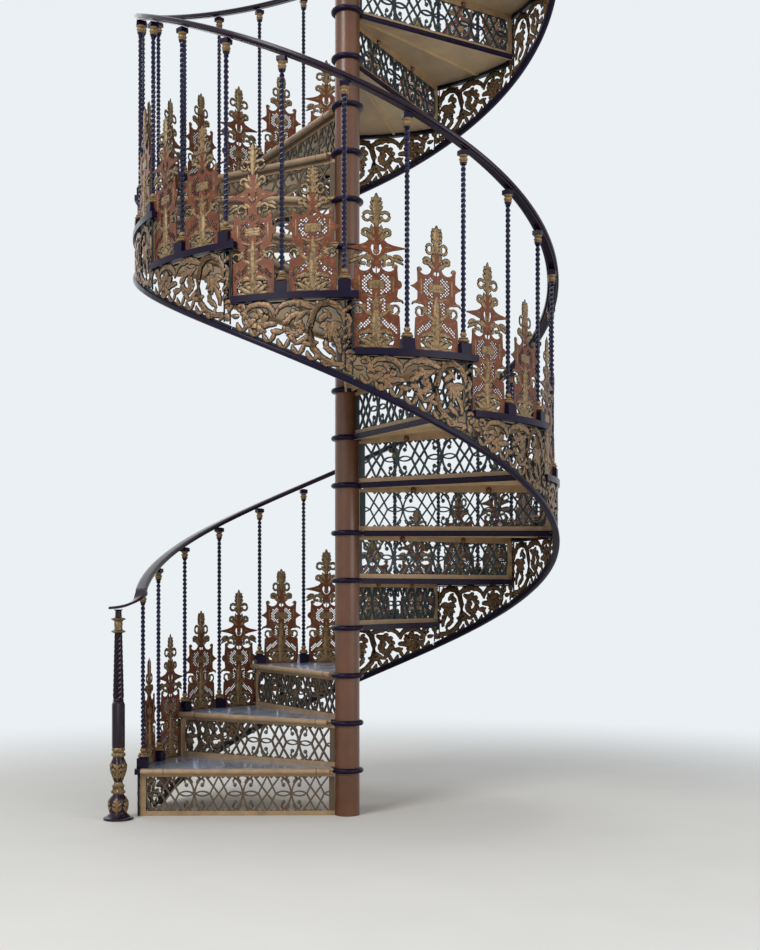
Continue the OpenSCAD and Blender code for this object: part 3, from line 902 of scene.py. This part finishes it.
class STAIR_OT_rails(StairOperator):
    """Make the handrail, its scrolled start and the string rail"""
    bl_idname = "stair.rails"
    bl_label = "Rails"

    def build(self, context):
        rail = whole_outline([(13, 0), (15, 4), (22, 6), (24, 12), (23, 19), (17, 23), (8, 23.8)])
        low = whole_outline([(7, -23), (12, -19), (13, -12), (12, -5), (7, -1)])
        for number in range(1, FLIGHTS + 1):
            start = 180 - TURN * PER_FLIGHT * (number - 1)
            end = start - TURN * PER_FLIGHT
            foot = start + STRING_LAP if number > 1 else 180 - TURN * ((STRING_DROP + 24) / RISE - 1)
            upper = helical_rail(rail, BALUSTER_R, start + 3, end + 3, RAIL_HEIGHT)
            lower = helical_rail(low, STRING_R, foot, end + STRING_LAP, -STRING_DROP)
            for kind, mesh, finish, slot in (("handrail", upper, "handrail_enamel", "handrail"),
                                             ("string_rail", lower, "moulding_enamel", "moulding")):
                make_piece(f"moulded_{kind}_{number}", mesh, [finish], [f"{kind}_{number}"])
        make_piece("curled_handrail_end", self.curl(), ["handrail_enamel"], ["handrail_scroll"])

    def curl(self):
        """The rail thins to a flat strap as it swoops down and ends over the newel."""
        section = whole_outline([(20, -9), (24, -1), (20, 9), (8, 12)])
        a = radians(183)
        start = Vector((BALUSTER_R * cos(a), BALUSTER_R * sin(a), RISE * 0.9 + RAIL_HEIGHT + 12))
        newel_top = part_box("newel_neck")[1].z / MM
        end = NEWEL + Vector((-32, 4, newel_top + 6))
        path = [start, start + Vector((3, -40, -15)), NEWEL + Vector((85, -25, newel_top + 12)), end]
        stations = []
        for i in range(25):
            t = i / 24
            p = self.bezier(path, t)
            d = self.bezier(path, min(1, t + 0.01)) - self.bezier(path, max(0, t - 0.01))
            heading = Matrix.Rotation(atan2(d.y, d.x) - pi / 2, 4, "Z")
            thin = 1 - 0.45 * min(1, t * 1.4)
            stations.append(Matrix.Translation(p) @ heading @ Matrix.Diagonal((1, 1, thin, 1)))
        return sweep(section, stations)

    def bezier(self, p, t):
        return (1 - t) ** 3 * p[0] + 3 * t * (1 - t) ** 2 * p[1] + 3 * t * t * (1 - t) * p[2] + t ** 3 * p[3]


class STAIR_OT_newel(StairOperator):
    """Make the newel's gilt vase, fluted body, twisted shaft and collar"""
    bl_idname = "stair.newel"
    bl_label = "Newel"

    # Radius at which the leaves of the newel are drawn flat, in millimetres
    wrap_r = 30

    def build(self, context):
        foot = [(0, 0), (61, 0), (62, 4), (60, 9), (50, 12), (44, 18), (36, 24), (34, 30), (37, 44), (40, 60),
                (39, 78), (32, 92), (24, 100), (22, 104), (0, 106)]
        vase = [(0, 102), (22, 104), (27, 110), (27, 117), (20, 123), (18, 130), (24, 134), (26, 139), (20, 145),
                (17, 154), (19, 168), (25, 184), (30, 200), (33, 218), (31, 236), (25, 250), (22, 258)]
        rings = [(21, 257), (28, 262), (30, 268), (28, 274), (22, 278), (26, 284), (28, 290), (25, 297), (0, 300)]
        neck = [(0, 769), (16, 770), (28, 774), (30, 777), (27, 780), (18, 784), (16, 792), (17, 802), (18, 810),
                (16, 816), (20, 822), (29, 826), (30, 829), (27, 832), (14, 835)]
        leaves = [self.leaves(foot, 28, 66, 5), self.leaves(vase, 108, 30, 5), self.leaves(vase, 158, 88, 6)]
        place = [Matrix.Translation(NEWEL)]
        neck_at = vase.index((17, 154))
        parts = [(lathe(foot, 32), 1), (lathe(vase[:neck_at + 1], 32), 0), (lathe(vase[neck_at:], 32), 1),
                 (lathe(rings, 32), 0)] + [(mesh, 0) for mesh in leaves]
        finish = ["newel_gilding", "handrail_enamel"]
        make_piece("newel_vase", joined(parts, place), finish, ["newel_foot"])
        waist = lathe([(0, 488), (21, 489), (23, 493), (20, 498), (17, 503), (0, 503)])
        shaft = [(self.fluted(298, 492), 0), (waist, 0), (self.twist(500, 772), 0)]
        make_piece("newel_body", joined(shaft, place), ["handrail_enamel"], ["newel_shaft"])
        stub = lathe([(0, 833), (14, 834), (13, 850), (13, 862), (20, 868), (0, 868)])
        collar = joined([(lathe(neck, 32), 0), (stub, 1)], place)
        make_piece("newel_collar", collar, finish, ["newel_neck"])

    def leaves(self, profile, low, height, count):
        """Upright acanthus leaves that lie round a turned profile of (radius, height) points."""
        strokes = []
        for i in range(count):
            x = 2 * pi * self.wrap_r * i / count
            strokes.append(frond(x, low, height, 90, 0, 8))
            for share, reach in ((0.1, 0.42), (0.38, 0.36), (0.64, 0.26)):
                z = low + share * height
                strokes += [frond(x, z, reach * height, 90 - side * 42, side * 10, 6, count=4)
                            for side in (-1, 1)]
        mesh = relief(strokes, flatness=0.6)
        for v in mesh.vertices:
            angle = v.co.x / self.wrap_r - pi / 2
            r = self.surface(profile, v.co.z) - v.co.y
            v.co = (r * cos(angle), r * sin(angle), v.co.z)
        return mesh

    def surface(self, profile, z):
        """Radius of a turned profile at the height z."""
        for (r0, z0), (r1, z1) in zip(profile, profile[1:]):
            if z0 < z1 and z0 <= z <= z1:
                return r0 + (r1 - r0) * (z - z0) / (z1 - z0)
        return profile[-1][0]

    def fluted(self, low, high):
        """An eight-sided body with hollow faces and pinched ends."""
        bm = circle(16, 27, low)
        for i, v in enumerate(bm.verts):
            if i % 2:
                v.co.xy *= 0.84
        ring = bm.edges[:]
        for height, share in ((low + 14, 1.0), (high - 18, 1.0), (high - 6, 0.85), (high, 0.75)):
            verts, ring = extruded(bm, ring)
            for v in verts:
                v.co = (share * v.co.x, share * v.co.y, height)
        return closed(bm)

    def twist(self, low, high):
        """Eight round flutes that wind slowly up the post's upper half as it tapers."""
        turns, flute, taper = 1.7, 0.24, 0.3
        bm = circle(32, 23, low)
        for i, v in enumerate(bm.verts):
            v.co.xy *= 1 - flute * abs(cos(pi * i / 4))
        wind(bm, 2 * pi * turns, high - low, 60)
        for v in bm.verts:
            v.co.xy *= 1 - taper * (v.co.z - low) / (high - low)
        return closed(bm)


class STAIR_OT_tread_fittings(StairOperator):
    """Make the bolts under each tread and the joints of its nosing"""
    bl_idname = "stair.tread_fittings"
    bl_label = "Tread fittings"

    def build(self, context):
        bolt = lathe([(0, -14), (5, -13), (9, -10), (11.5, -6), (12.5, -4), (12.5, 0), (0, 0)], 10)
        bolt.transform(Matrix.Rotation(-pi / 2, 4, "X"))
        joint = lathe([(12, -1.4), (13, -0.8), (13, 0.8), (12, 1.4)], 16)
        joint.transform(Matrix.Rotation(pi / 2, 4, "Y"))
        spots = [Matrix.Translation((x, NOSING_REACH - NOSING_R, -12.4)) for x in (130, 770)]
        joints = joined([(joint, 0)], spots)
        bolts = joined([(bolt, 0)], [Matrix.Translation((x, 8, -27)) for x in (280, 600)])
        for number in range(1, FLIGHTS + 1):
            places = [seat(n) for n in flight(number)]
            make_piece(f"riser_bolts_{number}", joined([(bolts, 0)], places), ["column_enamel"])
            make_piece(f"nosing_joints_{number}", joined([(joints, 0)], places), ["moulding_enamel"])


class STAIR_OT_stage(StairOperator):
    """Set the floor, the studio lights and the camera"""
    bl_idname = "stair.stage"
    bl_label = "Stage"

    def build(self, context):
        self.floor(context)
        self.world(context)
        self.lights(context)
        self.camera(context)
        context.scene.view_settings.view_transform = "Standard"

    def floor(self, context):
        """A pale floor that fades into the backdrop."""
        bm = bmesh.new()
        bmesh.ops.create_grid(bm, x_segments=1, y_segments=1, size=40)
        mesh = as_mesh(bm)
        # Matt pale floor, slightly cloudy
        material, tree, shader, place = new_finish("studio_floor")
        cloud = add(tree, "TexNoise", {"Vector": place, "Scale": 3, "Detail": 3}).outputs["Fac"]
        tone = context.scene.stair_colours.floor
        base = shades(tree, cloud, [(0.3, tinted(tone, 0.97)), (0.7, tone)])
        feed(shader, {"Base Color": base, "Roughness": 0.9})
        far = remapped(tree, vectors(tree, "LENGTH", place), 1.6, 4.5, kind="SMOOTHSTEP")
        fade = maths(tree, "MULTIPLY", far, self.rays(tree, "Camera", "Glossy"))
        glow = add(tree, "Emission", {"Color": BACKDROP})
        mix = add(tree, "MixShader", {0: fade, 1: shader.outputs[0], 2: glow.outputs[0]})
        feed(tree.nodes["Material Output"], {"Surface": mix.outputs[0]})
        mesh.materials.append(material)
        item = placed("studio_floor", mesh)
        item.location.z = -0.001

    def rays(self, tree, *kinds):
        """1 for light paths of the named kinds."""
        path = add(tree, "LightPath")
        found = 0
        for kind in kinds:
            found = maths(tree, "MAXIMUM", found, path.outputs[f"Is {kind} Ray"])
        return found

    def world(self, context):
        """The backdrop's colour where it is looked at, a cooler and weaker light elsewhere."""
        world = bpy.data.worlds.new("studio")
        context.scene.world = world
        world.use_nodes = True
        tree = world.node_tree
        tree.nodes.clear()
        lit = add(tree, "Background", {"Color": (0.86, 0.92, 1, 1), "Strength": 0.4})
        shown = add(tree, "Background", {"Color": BACKDROP})
        seen = self.rays(tree, "Camera", "Glossy", "Transmission")
        mix = add(tree, "MixShader", {0: seen, 1: lit.outputs[0], 2: shown.outputs[0]})
        add(tree, "OutputWorld", {"Surface": mix.outputs[0]})

    def lights(self, context):
        # Name, place and size in metres, power in watts
        lamps = (("key", (-3.2, -4.2, 4.6), 2.2, 170), ("fill", (4.0, -3.4, 2.4), 3.0, 75),
                 ("back", (-2.6, 4.4, 4.2), 4.0, 50), ("top", (0.4, -0.5, 7.5), 2.5, 60))
        for name, spot, size, power in lamps:
            lamp = bpy.data.lights.new(name, "AREA")
            lamp.size = size
            lamp.energy = power
            item = placed(name, lamp)
            item.location = spot
            aim = Vector((0, 0, 2.0)) - Vector(spot)
            item.rotation_euler = aim.to_track_quat("-Z", "Y").to_euler()

    def camera(self, context):
        """A level camera with a raised frame, as the photograph's upright lines show."""
        image_width, focal_px, horizon_px = 760, 1256.8, 122.45
        turned = radians(-0.834)
        camera = bpy.data.cameras.new("camera")
        camera.sensor_width = 36
        camera.sensor_fit = "HORIZONTAL"
        camera.lens = focal_px / image_width * camera.sensor_width
        camera.shift_y = horizon_px / image_width
        item = placed("camera", camera)
        item.location = Matrix.Rotation(turned, 3, "Z") @ Vector((0.1383, -5.3151, 0.9176))
        item.rotation_euler = (pi / 2, 0, turned)
        context.scene.camera = item


class STAIR_PT_panel(bpy.types.Panel):
    """Lists the stair's settings and steps"""
    bl_idname = "STAIR_PT_panel"
    bl_label = "Spiral stair"
    bl_space_type = "VIEW_3D"
    bl_region_type = "UI"
    bl_category = "Stair"

    def draw(self, context):
        for group in (context.scene.stair_sizes, context.scene.stair_colours):
            for name in group.__annotations__:
                self.layout.prop(group, name)
        for step in STEPS:
            self.layout.operator(step.bl_idname)


STEPS = (STAIR_OT_castings, STAIR_OT_balusters, STAIR_OT_leaf_panels, STAIR_OT_riser_scrolls,
         STAIR_OT_string_scrolls, STAIR_OT_rails, STAIR_OT_newel, STAIR_OT_tread_fittings, STAIR_OT_stage)
CLASSES = (StairSizes, StairColours, *STEPS, STAIR_PT_panel)


def register():
    for item in CLASSES:
        bpy.utils.register_class(item)
    bpy.types.Scene.stair_sizes = PointerProperty(type=StairSizes)
    bpy.types.Scene.stair_colours = PointerProperty(type=StairColours)


def unregister():
    del bpy.types.Scene.stair_sizes
    del bpy.types.Scene.stair_colours
    for item in reversed(CLASSES):
        bpy.utils.unregister_class(item)


def main():
    register()
    for step in STEPS:
        getattr(bpy.ops.stair, step.bl_idname.removeprefix("stair."))()


if __name__ == "__main__":
    main()
